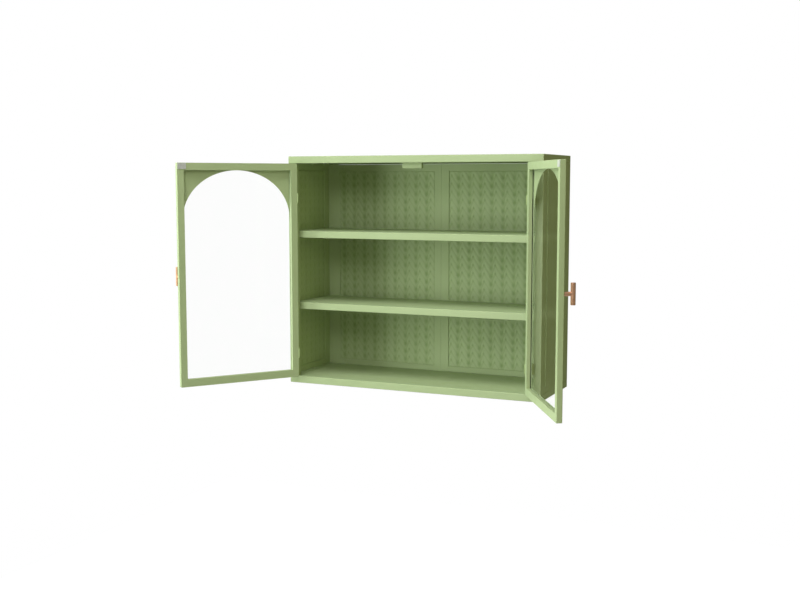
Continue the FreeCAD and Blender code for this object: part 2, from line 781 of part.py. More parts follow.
# Doors, in the frame of their hinge axis
def arch_cutter(side):
    """The window: straight sides under half an ellipse."""
    depth = ("door_front - overrun", "door_front + sheet + overrun")
    straight = document.addObject("Part::Box", "StraightWindow")
    set_block(straight, to_middle(side, "window_hinge_side", "window_free_side"), depth,
              ("window_bottom", "arch_spring"))
    ellipse = document.addObject("Part::Ellipse", "ArchLine")
    bind(ellipse, "MajorRadius", "max(arch_half_width; arch_rise)")
    bind(ellipse, "MinorRadius", "min(arch_half_width; arch_rise)")
    bind(ellipse, "Placement.Rotation.Angle", "arch_half_width >= arch_rise ? 0 : 90")
    arch = document.addObject("Part::Extrusion", "Arch")
    arch.Base = ellipse
    arch.DirMode = "Normal"
    arch.Solid = True
    bind(arch, "LengthFwd", "sheet + 2 * overrun")
    arch.Placement = FreeCAD.Placement(FreeCAD.Vector(), TURNS["-y"])
    bind(arch, "Placement.Base.x", f"{-side} * window_middle")
    bind(arch, "Placement.Base.y", "door_front + sheet + overrun")
    bind(arch, "Placement.Base.z", "arch_spring")
    return fused([straight, arch])


def door_skin(name, side):
    """The front sheet with its returned edges and the arched window."""
    body = new_body(f"door_{name}_pan")
    across = to_middle(side, "door_hinge_edge", "door_free_edge")
    beyond = "door_back + 2 * bend_radius"
    block = add_block(body, across, ("door_front", beyond), ("-door_top", "door_top"))
    round_edges(body, block, folded_edge())
    cut_block(body, to_middle(side, "door_hinge_edge - overrun", "door_free_edge + overrun"),
              ("door_back", f"{beyond} + overrun"), ("-door_top - overrun", "door_top + overrun"))
    cut_block(body, to_middle(side, "door_hinge_edge + sheet", "door_free_edge - sheet"),
              ("door_front + sheet", "door_back + overrun"), ("-door_top + sheet", "door_top - sheet"))
    handle_seat = (f"{-side} * handle_x", "door_front", "-handle_drop")
    drill(body, "+y", handle_seat, "screw_diameter")
    for height in HINGES.values():
        for seat in hinge_screw_seats(side, height, "hinge_door_leaf_reach", "door_hinge_edge"):
            drill(body, inward(side), seat, "small_screw_diameter")
    skin = named(f"door_{name}_skin", cut_from(body, arch_cutter(side)))
    sub_parts.append(hang(skin, side))


def around_window(side, growth):
    """The window's rectangle, grown on all sides."""
    return (to_middle(side, f"window_hinge_side - {growth}", f"window_free_side + {growth}"),
            (f"window_bottom - {growth}", f"window_top + {growth}"))


def door_frame(name, side):
    """The inner frame: a flat ring, walls round the window and a lip that holds the glass."""
    body = new_body(f"door_{name}_frame")
    add_block(body, to_middle(side, "door_hinge_edge + sheet", "door_free_edge - sheet"),
              ("door_back - sheet", "door_back"), ("-door_top + sheet", "door_top - sheet"))
    wall_x, wall_z = around_window(side, "sheet")
    add_block(body, wall_x, ("glass_back", "door_back"), wall_z)
    lip_x, lip_z = around_window(side, "glass_lip")
    add_block(body, lip_x, ("glass_back", "glass_back + sheet"), lip_z)
    window_x, window_z = around_window(side, "0")
    cut_block(body, window_x, ("glass_back - overrun", "door_back + overrun"), window_z)
    strike_seat = (f"{-side} * strike_x", "door_back", "strike_z")
    drill(body, "-y", strike_seat, "small_screw_diameter")
    sub_parts.append(hang(body, side))


def door_glass(name, side):
    glass_x, glass_z = around_window(side, "glass_bearing")
    glass = new_body(f"door_{name}_glass")
    add_block(glass, glass_x, ("glass_front", "glass_back"), glass_z)
    sub_parts.append(hang(glass, side))
    seal = new_body(f"door_{name}_glass_seal")
    add_block(seal, glass_x, ("door_front + sheet", "glass_front"), glass_z)
    inner_x, inner_z = around_window(side, "seal_setback")
    cut_block(seal, inner_x, ("door_front", "glass_front + overrun"), inner_z)
    sub_parts.append(hang(seal, side))


def door_strike(name, side):
    """The steel plate that the magnets pull, with its countersunk screw."""
    plate = new_body(f"door_{name}_strike")
    middle = f"{-side} * strike_x"
    x = (f"{middle} - strike_width / 2", f"{middle} + strike_width / 2")
    z = ("strike_z - strike_height / 2", "strike_z + strike_height / 2")
    block = add_block(plate, x, ("door_back - 2 * strike_corner",
                                 "door_back + strike_thickness + 2 * strike_corner"), z)
    round_edges(plate, block, "strike_corner")
    wide_x = (f"{middle} - strike_width", f"{middle} + strike_width")
    wide_z = ("strike_z - strike_height", "strike_z + strike_height")
    cut_block(plate, wide_x, ("door_back - 2 * strike_corner - overrun", "door_back"), wide_z)
    cut_block(plate, wide_x, ("door_back + strike_thickness",
                              "door_back + strike_thickness + 2 * strike_corner + overrun"), wide_z)
    seat = (middle, "door_back + strike_thickness", "strike_z")
    flush_seat(plate, "-y", seat, "strike_thickness")
    sub_parts.append(hang(plate, side))
    strike_screw = named(f"door_{name}_strike_screw", flush_screw("-y", seat, "strike_thickness"))
    sub_parts.append(hang(strike_screw, side))


def door_handle(name, side):
    """A T handle: an upright bar on a short stem, held by a screw inside the stile."""
    x = f"{-side} * handle_x"
    axis_seat = (x, "handle_axis", "-handle_drop")
    face_seat = (x, "door_front", "-handle_drop")
    half = "handle_bar_length / 2"
    straight = f"{half} - handle_bar_chamfer"
    tapered = "handle_bar_diameter - 2 * handle_bar_chamfer"
    bar = fused([
        solid_rod("+z", axis_seat, f"-({straight})", straight, "handle_bar_diameter"),
        solid_rod("+z", axis_seat, straight, half, "handle_bar_diameter", tapered),
        solid_rod("-z", axis_seat, straight, half, "handle_bar_diameter", tapered),
    ])
    socket = solid_rod("+y", axis_seat, "handle_bar_diameter / 2 - handle_spigot_depth",
                       "handle_bar_diameter", "handle_spigot_diameter + 2 * running_fit")
    sub_parts.append(hang(named(f"door_{name}_handle_bar", cut_from(bar, socket)), side))
    stem = solid_rod("-y", face_seat, "0", "handle_reach", "handle_stem_diameter")
    saddle = solid_rod("+z", axis_seat, "-handle_stem_diameter", "handle_stem_diameter",
                       "handle_bar_diameter + 2 * running_fit")
    spigot = solid_rod("+y", axis_seat, "handle_bar_diameter / 2 - handle_spigot_depth + fit_gap",
                       "handle_bar_diameter", "handle_spigot_diameter")
    thread = solid_rod("-y", face_seat, "-overrun", "screw_length - sheet + fit_gap",
                       "screw_diameter + 2 * running_fit")
    body = cut_from(fused([cut_from(stem, saddle), spigot]), thread)
    sub_parts.append(hang(named(f"door_{name}_handle_stem", body), side))
    seat = (x, "door_front + sheet", "-handle_drop")
    sub_parts.append(hang(named(f"door_{name}_handle_screw", screw("-y", seat)), side))


# Checks and files
def check(piece):
    if piece.Shape.isNull() or not piece.Shape.isValid():
        raise ValueError(f"{piece.Label} has no valid shape")


def check_states():
    for thing in document.Objects:
        if "Invalid" in thing.State or "Error" in thing.State:
            raise ValueError(f"{thing.Label} failed: {thing.State}")


def build():
    fill_sheet("Sizes", SIZES, "")
    fill_sheet("Places", PLACES, "=")
    top_panel()
    bottom_panel()
    back_panel_left()
    back_panel_right()
    back_rivets()
    hanging_rail("top", 1)
    hanging_rail("bottom", -1)
    frame_fasteners()
    shelf("upper", 1)
    shelf("lower", -1)
    shelf_supports()
    catch()
    for name, side in SIDES.items():
        side_panel(name, side)
        for level, height in HINGES.items():
            hinge_frame_leaf(name, side, level, height)
            hinge_pin(name, side, level, height)
            hinge_door_leaf(name, side, level, height)
        hinge_screws(name, side)
        door_skin(name, side)
        door_frame(name, side)
        door_glass(name, side)
        door_strike(name, side)
        door_handle(name, side)
    document.recompute()


def export():
    check_states()
    for piece in sub_parts:
        check(piece)
    os.makedirs("parts", exist_ok=True)
    for piece in sub_parts:
        piece.Shape.exportStep(f"parts/{piece.Label}.step")


build()
export()
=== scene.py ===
import json
import math

import bmesh
import bpy
import numpy as np
from mathutils import Matrix, Vector


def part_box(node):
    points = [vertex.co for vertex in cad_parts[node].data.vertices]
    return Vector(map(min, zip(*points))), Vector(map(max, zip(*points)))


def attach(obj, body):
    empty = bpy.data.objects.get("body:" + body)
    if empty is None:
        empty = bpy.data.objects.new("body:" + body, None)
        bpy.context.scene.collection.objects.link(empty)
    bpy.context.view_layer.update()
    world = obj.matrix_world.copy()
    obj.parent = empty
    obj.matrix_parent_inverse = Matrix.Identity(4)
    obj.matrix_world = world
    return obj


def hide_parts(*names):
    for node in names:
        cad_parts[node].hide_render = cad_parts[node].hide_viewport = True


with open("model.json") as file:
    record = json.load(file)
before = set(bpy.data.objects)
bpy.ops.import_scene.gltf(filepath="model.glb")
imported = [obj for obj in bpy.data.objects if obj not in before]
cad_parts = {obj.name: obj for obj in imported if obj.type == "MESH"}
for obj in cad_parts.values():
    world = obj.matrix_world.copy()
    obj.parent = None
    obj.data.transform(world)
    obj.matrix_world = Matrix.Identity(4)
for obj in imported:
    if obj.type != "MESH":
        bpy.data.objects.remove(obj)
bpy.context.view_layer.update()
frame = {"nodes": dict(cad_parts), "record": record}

# Colours, as linear values
PAINT = (0.376, 0.460, 0.200)
PAINT_DEEP = (0.352, 0.435, 0.184)
# Painted shade for the pits of the cane relief: the coat darkens towards this where a pit is deeper
PIT_PAINTED_SHADE = (0.205, 0.290, 0.086)
# The hinges' paint is the sage paint made lighter: a painted highlight where the hinges catch the light
HINGE_LIT_PAINT = (0.430, 0.530, 0.220)
HINGE_LIT_PAINT_DEEP = (0.400, 0.500, 0.200)
COPPER = (0.84, 0.48, 0.28)
COPPER_DARK = (0.66, 0.38, 0.215)
ZINC = (0.78, 0.80, 0.67)
ZINC_DARK = (0.66, 0.68, 0.55)
RUBBER = (0.50, 0.61, 0.29)
RUBBER_DARK = (0.45, 0.56, 0.26)
FERRITE = (0.035, 0.035, 0.038)
FERRITE_DARK = (0.018, 0.018, 0.020)
GLASS_TINT = (0.999, 1.0, 0.999)
GLASS_SMEAR = (0.994, 0.999, 0.995)
GLASS_MIRROR = (0.01, 0.10)
PAINT_SHEEN = 0.38

# Grain of the finishes: noise as (scale per metre, detail[, roughness]), bump as (strength, metres)
COAT_DRIFT = (5.0, 3.0)
COAT_PATCHES = (45.0, 2.0)
COAT_PEEL = (420.0, 1.5, 0.45)
COAT_PEEL_BUMP = (0.12, 0.0006)
COAT_GRAIN = (2600.0, 1.0)
COAT_GRAIN_BUMP = (0.10, 0.00012)
COAT_ROUGHNESS = (0.44, 0.56)
HINGE_ROUGHNESS = (0.40, 0.52)
BRUSH_LINES = (1.0, 3.0, 0.6)
BRUSH_LINES_BUMP = (0.10, 0.00006)
BRUSH_CLOUD = (60.0, 2.0)
BRUSH_CLOUD_BUMP = (0.05, 0.0002)
BRUSH_SPAN = (0.15, 0.85)
COPPER_BRUSH = (900, 900, 90)
COPPER_ROUGHNESS = (0.28, 0.44)
COPPER_METALLIC = 0.7
ZINC_BRUSH = (700, 700, 2400)
ZINC_ROUGHNESS = (0.28, 0.46)
ZINC_METALLIC = 0.5
MATT_MOTTLE_DETAIL = 3.0
MATT_PITS = (3.0, 0.6)
MATT_BUMP = (0.2, 0.0001)
MATT_ROUGHNESS = (0.6, 0.8)
RUBBER_SCALES = (150.0, 900.0)
FERRITE_SCALES = (1400.0 / 6, 1400.0)
GLASS_WAVE = (6.0, 1.0)
GLASS_WAVE_BUMP = (0.02, 0.0004)
GLASS_STREAKS = (30.0, 3.0)
GLASS_BLUR = (0.0, 0.03)
GRAZING_POWER = 4.0

# Cane relief, in metres; a phase is the place of one large pit, across and up
SHEET = 0.0008
CELL_WIDTH = 0.0314
CELL_HEIGHT = 0.0217
NARROW_COLUMN = 0.011
SMALL_PIT_RISE = 0.0076
LARGE_PIT_RADIUS = 0.0060
SMALL_PIT_RADIUS = 0.0032
SMALL_PIT_SHARE = 0.65
GROOVE_SHARE = 0.45
LARGE_VALLEY = (0.0055, 0.45)
SMALL_VALLEY = (0.0026, 0.20)
CROWN_POWER = 0.8
FADE_WIDTH = 0.0022
RELIEF_HEIGHT = 0.0015
INNER_STEP = 0.0015
OUTER_STEP = 0.0026
SMOOTH_LIMIT = 30
LARGE_FACE = 0.0002
DEPTH = "cane_depth"
# Pit depths between which the painted pit shade comes in
PIT_SHADE_SPAN = (0.25, 1.15)
UNEVENNESS = 0.45
UNEVEN_RUN = (0.083, 0.131)
UNEVEN_START = 1
UNEVEN_SLANT = 1 / 3
BACK_PHASE = {"left": (-0.1107, 0.2004), "right": (0.0763, 0.2004)}
SIDE_PHASE = (-0.117, 0.2004)
SIDE_RUN = 1.27
SIDE_SHARE = 0.6
FLAT_LIMIT = 2e-5
MERGE_LIMIT = 1e-6

# Caps of the wall holes, in metres
CAP_RADIUS = 0.0046
CAP_HEIGHT = 0.0008
CAP_TAPER = 0.88
CAP_SIDES = 32

# Stage
FLOOR_LEVEL = -1.30
FLOOR_SIZE = 4.0
FLOOR_LIFT = 0.75
FLOOR_FADE = (0.7, 1.6)
FLOOR_CLOUD = (1.5, 3.0)
FLOOR_WHITE = (0.80, 0.80, 0.80)
FLOOR_WHITE_DEEP = (0.78, 0.78, 0.78)
FLOOR_FAR = (0.3, 0.3, 0.3)
AMBIENT = 0.15
AMBIENT_SPAN = (-0.6, 0.6)
AMBIENT_LEFT = (0.98, 1.0, 1.25)
AMBIENT_RIGHT = (1.02, 1.0, 0.62)
MIRRORED_SPAN = (-0.85, -0.25)
MIRRORED_LEVELS = (1.75, 0.16)
MIRRORED_COLOUR = (0.8, 0.8, 0.55)
COOL = (0.93, 1.0, 1.22)
PALE = (1.0, 1.0, 1.25)
WARM = (1.04, 1.0, 0.62)
LAMPS = (
    # name, place, size, watts, colour, seen in mirror reflections
    ("left_high", (-1.88, -1.47, 1.93), (1.0, 1.0), 22.0, COOL, True),
    ("left_wall", (-3.0, -0.2, 0.3), (1.2, 2.0), 44.0, COOL, False),
    ("left_front", (-1.6, -1.9, 0.0), (1.0, 1.0), 31.0, COOL, False),
    ("front_high", (0.2, -2.7, 1.3), (0.8, 0.8), 18.5, PALE, True),
    ("top", (0.0, -1.56, 2.65), (1.4, 1.4), 55.0, PALE, True),
    ("right_fill", (2.7, -1.4, 0.42), (2.0, 2.0), 11.5, WARM, False),
    ("near_right", (0.25, -1.3, -0.35), (0.5, 0.5), 1.5, PALE, False),
)
LAMP_AIM = (0, -0.15, 0)
CAMERA_LENS = 50
CAMERA_SENSOR = 36
CAMERA_SPOT = (1.12625, -2.79566, 0.23399)
CAMERA_DIP = 6.08
CAMERA_TURN = 24.22


# Materials
def shader(name):
    made = bpy.data.materials.new(name)
    made.use_nodes = True
    tree = made.node_tree
    tree.nodes.clear()
    return made, tree


def node(tree, kind, **values):
    made = tree.nodes.new(kind)
    for key, value in values.items():
        if hasattr(made, key):
            setattr(made, key, value)
        else:
            made.inputs[key.replace("_", " ")].default_value = value
    return made


def place(tree, stretch=(1, 1, 1)):
    spot = node(tree, "ShaderNodeTexCoord")
    mapping = node(tree, "ShaderNodeMapping")
    mapping.inputs["Scale"].default_value = stretch
    tree.links.new(spot.outputs["Object"], mapping.inputs["Vector"])
    return mapping.outputs["Vector"]


def noise(tree, vector, scale, detail=2.0, rough=0.5):
    made = node(tree, "ShaderNodeTexNoise", Scale=scale, Detail=detail, Roughness=rough)
    tree.links.new(vector, made.inputs["Vector"])
    return made.outputs["Fac"]


def ranged(tree, value, low, high, start=0.3, end=0.7):
    made = node(tree, "ShaderNodeMapRange")
    for key, number in (("From Min", start), ("From Max", end), ("To Min", low), ("To Max", high)):
        made.inputs[key].default_value = number
    tree.links.new(value, made.inputs["Value"])
    return made.outputs["Result"]


def blended(tree, value, first, second):
    """Mixes two colours; the first may be another node's output."""
    made = node(tree, "ShaderNodeMix", data_type="RGBA")
    if isinstance(first, tuple):
        made.inputs["A"].default_value = (*first, 1)
    else:
        tree.links.new(first, made.inputs["A"])
    made.inputs["B"].default_value = (*second, 1)
    tree.links.new(value, made.inputs["Factor"])
    return made.outputs["Result"]


def bumped(tree, *layers):
    """Stacks bump layers of (height, strength, distance) and gives the last normal."""
    normal = None
    for height, strength, distance in layers:
        made = node(tree, "ShaderNodeBump", Strength=strength, Distance=distance)
        tree.links.new(height, made.inputs["Height"])
        if normal:
            tree.links.new(normal, made.inputs["Normal"])
        normal = made.outputs["Normal"]
    return normal


def finished(tree, surface):
    output = node(tree, "ShaderNodeOutputMaterial")
    tree.links.new(surface, output.inputs["Surface"])


def surface_of(tree, colour, roughness, normal, **constants):
    made = node(tree, "ShaderNodeBsdfPrincipled")
    for key, value in constants.items():
        made.inputs[key.replace("_", " ")].default_value = value
    tree.links.new(colour, made.inputs["Base Color"])
    tree.links.new(roughness, made.inputs["Roughness"])
    tree.links.new(normal, made.inputs["Normal"])
    return made.outputs["BSDF"]


def powder_coat(name, light, deep, roughness_span):
    """Matt powder coat: orange peel, a fine grain, a slow drift of tone and sheen, and painted shade that
    darkens the cane relief's deeper pits.
    """
    made, tree = shader(name)
    spot = place(tree)
    drift = noise(tree, spot, *COAT_DRIFT)
    patches = noise(tree, spot, *COAT_PATCHES)
    peel = noise(tree, spot, *COAT_PEEL)
    grain = noise(tree, spot, *COAT_GRAIN)
    depth = node(tree, "ShaderNodeAttribute", attribute_name=DEPTH)
    colour = blended(tree, ranged(tree, drift, 0, 1), light, deep)
    # Painted shade: the coat darkens in the relief's deeper pits, read from the depth attribute
    colour = blended(tree, ranged(tree, depth.outputs["Fac"], 0, 1, *PIT_SHADE_SPAN), colour, PIT_PAINTED_SHADE)
    roughness = ranged(tree, patches, *roughness_span)
    normal = bumped(tree, (peel, *COAT_PEEL_BUMP), (grain, *COAT_GRAIN_BUMP))
    finished(tree, surface_of(tree, colour, roughness, normal, Specular_IOR_Level=PAINT_SHEEN))
    return made


def brushed(name, light, deep, stretch, roughness_span, metallic):
    """Plated metal with fine brush lines, drawn out where the stretch is small."""
    made, tree = shader(name)
    spot = place(tree)
    lines = noise(tree, place(tree, stretch), *BRUSH_LINES)
    cloud = noise(tree, spot, *BRUSH_CLOUD)
    colour = blended(tree, ranged(tree, cloud, 0, 1), light, deep)
    roughness = ranged(tree, lines, *roughness_span, *BRUSH_SPAN)
    normal = bumped(tree, (lines, *BRUSH_LINES_BUMP), (cloud, *BRUSH_CLOUD_BUMP))
    finished(tree, surface_of(tree, colour, roughness, normal, Metallic=metallic))
    return made


def matt(name, light, deep, mottle_scale, pit_scale):
    """A dull solid such as rubber or ferrite, with a fine pitted grain."""
    made, tree = shader(name)
    spot = place(tree)
    mottle = noise(tree, spot, mottle_scale, MATT_MOTTLE_DETAIL)
    pits = noise(tree, spot, pit_scale, *MATT_PITS)
    colour = blended(tree, ranged(tree, mottle, 0, 1), light, deep)
    roughness = ranged(tree, pits, *MATT_ROUGHNESS)
    finished(tree, surface_of(tree, colour, roughness, bumped(tree, (pits, *MATT_BUMP))))
    return made


def clear_glass(name):
    """Float glass with a quiet coating: clear, faintly tinted and streaked, with a low reflection.

    Shadow and diffuse rays pass it unchanged, so that it doesn't darken what stands behind it.
    """
    made, tree = shader(name)
    spot = place(tree)
    wave = noise(tree, spot, *GLASS_WAVE)
    smear = noise(tree, spot, *GLASS_STREAKS)
    clear = node(tree, "ShaderNodeBsdfTransparent")
    tint = blended(tree, ranged(tree, smear, 0, 1), GLASS_TINT, GLASS_SMEAR)
    tree.links.new(tint, clear.inputs["Color"])
    mirror = node(tree, "ShaderNodeBsdfGlossy")
    tree.links.new(ranged(tree, smear, *GLASS_BLUR), mirror.inputs["Roughness"])
    normal = bumped(tree, (wave, *GLASS_WAVE_BUMP))
    tree.links.new(normal, mirror.inputs["Normal"])
    edge = node(tree, "ShaderNodeLayerWeight", Blend=0.5)
    tree.links.new(normal, edge.inputs["Normal"])
    grazing = node(tree, "ShaderNodeMath", operation="POWER")
    grazing.inputs[1].default_value = GRAZING_POWER
    tree.links.new(edge.outputs["Facing"], grazing.inputs[0])
    mixed = node(tree, "ShaderNodeMixShader")
    tree.links.new(ranged(tree, grazing.outputs[0], *GLASS_MIRROR, 0, 1), mixed.inputs["Fac"])
    tree.links.new(clear.outputs["BSDF"], mixed.inputs[1])
    tree.links.new(mirror.outputs["BSDF"], mixed.inputs[2])
    path = node(tree, "ShaderNodeLightPath")
    unseen = node(tree, "ShaderNodeMath", operation="MAXIMUM")
    tree.links.new(path.outputs["Is Shadow Ray"], unseen.inputs[0])
    tree.links.new(path.outputs["Is Diffuse Ray"], unseen.inputs[1])
    open_way = node(tree, "ShaderNodeBsdfTransparent")
    passed = node(tree, "ShaderNodeMixShader")
    tree.links.new(unseen.outputs[0], passed.inputs["Fac"])
    tree.links.new(mixed.outputs["Shader"], passed.inputs[1])
    tree.links.new(open_way.outputs["BSDF"], passed.inputs[2])
    finished(tree, passed.outputs["Shader"])
    return made


FINISHES = {
    "green_steel": powder_coat("sage_powder_coat", PAINT, PAINT_DEEP, COAT_ROUGHNESS),
    # Hinges take the lightened sage paint, a painted highlight
    "hinge_steel": powder_coat("hinge_paint_painted_highlight", HINGE_LIT_PAINT, HINGE_LIT_PAINT_DEEP, HINGE_ROUGHNESS),
    "clear_glass": clear_glass("float_glass"),
    "copper_finish": brushed("satin_copper", COPPER, COPPER_DARK, COPPER_BRUSH, COPPER_ROUGHNESS,
                             COPPER_METALLIC),
    "plated_steel": brushed("zinc_plate", ZINC, ZINC_DARK, ZINC_BRUSH, ZINC_ROUGHNESS, ZINC_METALLIC),
    "seal": matt("seal_rubber", RUBBER, RUBBER_DARK, *RUBBER_SCALES),
    "magnet": matt("ferrite", FERRITE, FERRITE_DARK, *FERRITE_SCALES),
}


def dress(obj, slot):
    obj.data.materials.clear()
    obj.data.materials.append(FINISHES[slot])


slot_of = {row["node"]: row["material_slot"] for row in frame["record"]["subparts"]}
for name, obj in frame["nodes"].items():
    for holder in obj.material_slots:
        holder.material = FINISHES[slot_of[name]]


# Cane relief
def eased(value):
    """A smooth step from 0 to 1."""
    value = np.clip(value, 0, 1)
    return value * value * (3 - 2 * value)


def cane(x, z):
    """The relief's height, from 0 in the pits to 1 on the strips' crowns.

    Strips fall in the wide columns and rise in the narrow ones; a valley with pits parts the columns.
    The pits are deeper in some places than in others, as in cane of uneven tension.
    """
    swell = np.sin(2 * math.pi * x / UNEVEN_RUN[0] + UNEVEN_START)
    swell = swell * np.sin(2 * math.pi * (z + x * UNEVEN_SLANT) / UNEVEN_RUN[1])
    tension = 1 - UNEVENNESS * (1 + swell) / 2
    x = x % CELL_WIDTH
    slant = CELL_HEIGHT + SMALL_PIT_RISE
    wide_column = CELL_WIDTH - NARROW_COLUMN
    falling = (z - SMALL_PIT_RISE + (x - NARROW_COLUMN) * slant / wide_column) / CELL_HEIGHT
    rising = (z - x * slant / NARROW_COLUMN) / CELL_HEIGHT
    strip = np.where(x > NARROW_COLUMN, falling, rising)
    crown = np.sin(np.abs(strip - np.round(strip)) * math.pi) ** CROWN_POWER
    crown = GROOVE_SHARE + (1 - GROOVE_SHARE) * crown
    valleys = ((0, *LARGE_VALLEY), (NARROW_COLUMN, *SMALL_VALLEY), (CELL_WIDTH, *LARGE_VALLEY))
    for middle, width, share in valleys:
        crown = crown * (1 - share * np.exp(-((x - middle) / width) ** 2))
    pits = np.zeros_like(x)
    kinds = ((0, 0, LARGE_PIT_RADIUS, 1), (NARROW_COLUMN, SMALL_PIT_RISE, SMALL_PIT_RADIUS, SMALL_PIT_SHARE))
    for across, up, radius, share in kinds:
        away_x = x - across - CELL_WIDTH * np.round((x - across) / CELL_WIDTH)
        away_z = z - up - CELL_HEIGHT * np.round((z - up) / CELL_HEIGHT)
        pits = np.maximum(pits, share * np.exp(-(away_x ** 2 + away_z ** 2) / radius ** 2))
    return crown * (1 - pits * tension)


def split_evenly(bm, start, end, count):
    """Adds evenly spaced points to an edge and gives all its points in order."""
    points = [start]
    for left in range(count, 1, -1):
        edge = bm.edges.get((points[-1], end))
        points.append(bmesh.utils.edge_split(edge, points[-1], 1 / left)[1])
    return points + [end]


def press(bm, axis, side, plane, low, high, height, step):
    """Swaps one flat face of a field for its relief, joined point by point to the face's edges."""
    across = 0 if axis == 1 else 1
    flat = [face for face in bm.faces
            if all(abs(v.co[axis] - side * plane) < FLAT_LIMIT for v in face.verts)
            and all(low[0] - FLAT_LIMIT < v.co[across] < high[0] + FLAT_LIMIT for v in face.verts)
            and all(low[1] - FLAT_LIMIT < v.co.z < high[1] + FLAT_LIMIT for v in face.verts)]
    sign = 1 if sum(face.normal[axis] for face in flat) > 0 else -1
    bmesh.ops.delete(bm, geom=flat, context="FACES")
    rim = [v for v in bm.verts if abs(v.co[axis] - side * plane) < FLAT_LIMIT]

    def corner(a, z):
        return min(rim, key=lambda v: abs(v.co[across] - a) + abs(v.co.z - z))

    columns = round((high[0] - low[0]) / step)
    rows = round((high[1] - low[1]) / step)
    a_line = np.linspace(low[0], high[0], columns + 1)
    z_line = np.linspace(low[1], high[1], rows + 1)
    corners = [corner(low[0], low[1]), corner(high[0], low[1]),
               corner(high[0], high[1]), corner(low[0], high[1])]
    bottom = split_evenly(bm, corners[0], corners[1], columns)
    top = split_evenly(bm, corners[3], corners[2], columns)
    left = split_evenly(bm, corners[0], corners[3], rows)
    right = split_evenly(bm, corners[1], corners[2], rows)
    grid_a, grid_z = np.meshgrid(a_line, z_line)
    share = height(grid_a, grid_z)
    depth = bm.verts.layers.float[DEPTH]
    points = []
    for row in range(rows + 1):
        line = []
        for column in range(columns + 1):
            if row == 0:
                vert = bottom[column]
            elif row == rows:
                vert = top[column]
            elif column == 0:
                vert = left[row]
            elif column == columns:
                vert = right[row]
            else:
                spot = [0, 0, z_line[row]]
                spot[across] = a_line[column]
                spot[axis] = side * (plane - RELIEF_HEIGHT * share[row, column])
                vert = bm.verts.new(spot)
                vert[depth] = 1 - share[row, column]
            line.append(vert)
        points.append(line)
    turned = (sign > 0) == (axis == 0)
    for row in range(rows):
        for column in range(columns):
            quad = [points[row][column], points[row][column + 1],
                    points[row + 1][column + 1], points[row + 1][column]]
            bm.faces.new(quad if turned else quad[::-1]).material_index = 0


def relief_panel(name, axis, side, inner_plane, outer_plane, low, high, phase, run=1, share=1):
    """Swaps a panel for one with the cane relief on its field's inner face, and on the outer if given.

    The phase and run give the pattern's start and its direction and stretch across; the share
    gives how much of the relief's depth is kept.
    """
    source = frame["nodes"][name]
    bm = bmesh.new()
    bm.from_mesh(source.data)
    bmesh.ops.remove_doubles(bm, verts=bm.verts, dist=MERGE_LIMIT)
    bm.verts.layers.float.new(DEPTH)

    def height(a, z):
        edge = np.minimum.reduce([a - low[0], high[0] - a, z - low[1], high[1] - z])
        relief = 1 - share * (1 - cane(run * (a - phase[0]), z - phase[1]))
        return relief * eased(edge / FADE_WIDTH)

    press(bm, axis, side, inner_plane, low, high, height, INNER_STEP)
    if outer_plane is not None:
        wide_low = (low[0] - SHEET, low[1] - SHEET)
        wide_high = (high[0] + SHEET, high[1] + SHEET)
        press(bm, axis, side, outer_plane, wide_low, wide_high, height, OUTER_STEP)
    mesh = bpy.data.meshes.new(name + "_cane")
    bm.to_mesh(mesh)
    bm.free()
    stored = mesh.attributes.get("custom_normal")
    if stored:
        mesh.attributes.remove(stored)
    for face in mesh.polygons:
        face.use_smooth = face.area < LARGE_FACE
    mesh.set_sharp_from_angle(angle=math.radians(SMOOTH_LIMIT))
    piece = bpy.data.objects.new(name + "_cane", mesh)
    bpy.context.collection.objects.link(piece)
    dress(piece, "green_steel")
    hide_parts(name)
    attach(piece, "cabinet")


def field_span(obj, axis, plane, side):
    """The box of a node's flat face at a plane, across and up."""
    across = 0 if axis == 1 else 1
    points = [v.co for v in obj.data.vertices if abs(v.co[axis] - side * plane) < FLAT_LIMIT]
    return ((min(p[across] for p in points), min(p.z for p in points)),
            (max(p[across] for p in points), max(p.z for p in points)))


for name, side in (("left", -1), ("right", 1)):
    back = "back_panel_" + name
    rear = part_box(back)[1].y
    low, high = field_span(frame["nodes"][back], 1, rear, 1)
    low, high = (low[0] + SHEET, low[1] + SHEET), (high[0] - SHEET, high[1] - SHEET)
    relief_panel(back, 1, 1, rear - SHEET, rear, low, high, BACK_PHASE[name])
    wall = "side_panel_" + name
    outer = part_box(wall)[1].x if side > 0 else -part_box(wall)[0].x
    low, high = field_span(frame["nodes"][wall], 0, outer, side)
    low, high = (low[0] + SHEET, low[1] + SHEET), (high[0] - SHEET, high[1] - SHEET)
    relief_panel(wall, 0, side, outer - SHEET, None, low, high,
                 SIDE_PHASE, -side * SIDE_RUN, SIDE_SHARE)


# Caps that close the four wall holes inside the cabinet
def disc(bm, middle, radius, depth):
    """A short rod along Y around its middle, with a slight taper."""
    made = bmesh.ops.create_cone(bm, cap_ends=True, segments=CAP_SIDES, radius1=radius,
                                 radius2=radius * CAP_TAPER, depth=depth)
    turn = Matrix.Translation(middle) @ Matrix.Rotation(math.radians(90), 4, "X")
    bmesh.ops.transform(bm, matrix=turn, verts=made["verts"])


def wall_hole_caps():
    mount = next(row for row in frame["record"]["mounts"] if row["name"] == "wall_holes")
    half_x = mount["dims"]["spacing_x_mm"] / 2000
    half_z = mount["dims"]["spacing_y_mm"] / 2000
    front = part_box("back_panel_left")[0].y
    bm = bmesh.new()
    for x in (-half_x, half_x):
        for z in (-half_z, half_z):
            disc(bm, Vector((x, front - CAP_HEIGHT / 2, z)), CAP_RADIUS, CAP_HEIGHT)
    mesh = bpy.data.meshes.new("wall_hole_caps")
    bm.to_mesh(mesh)
    bm.free()
    piece = bpy.data.objects.new("wall_hole_caps", mesh)
    bpy.context.collection.objects.link(piece)
    dress(piece, "green_steel")
    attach(piece, "cabinet")


wall_hole_caps()


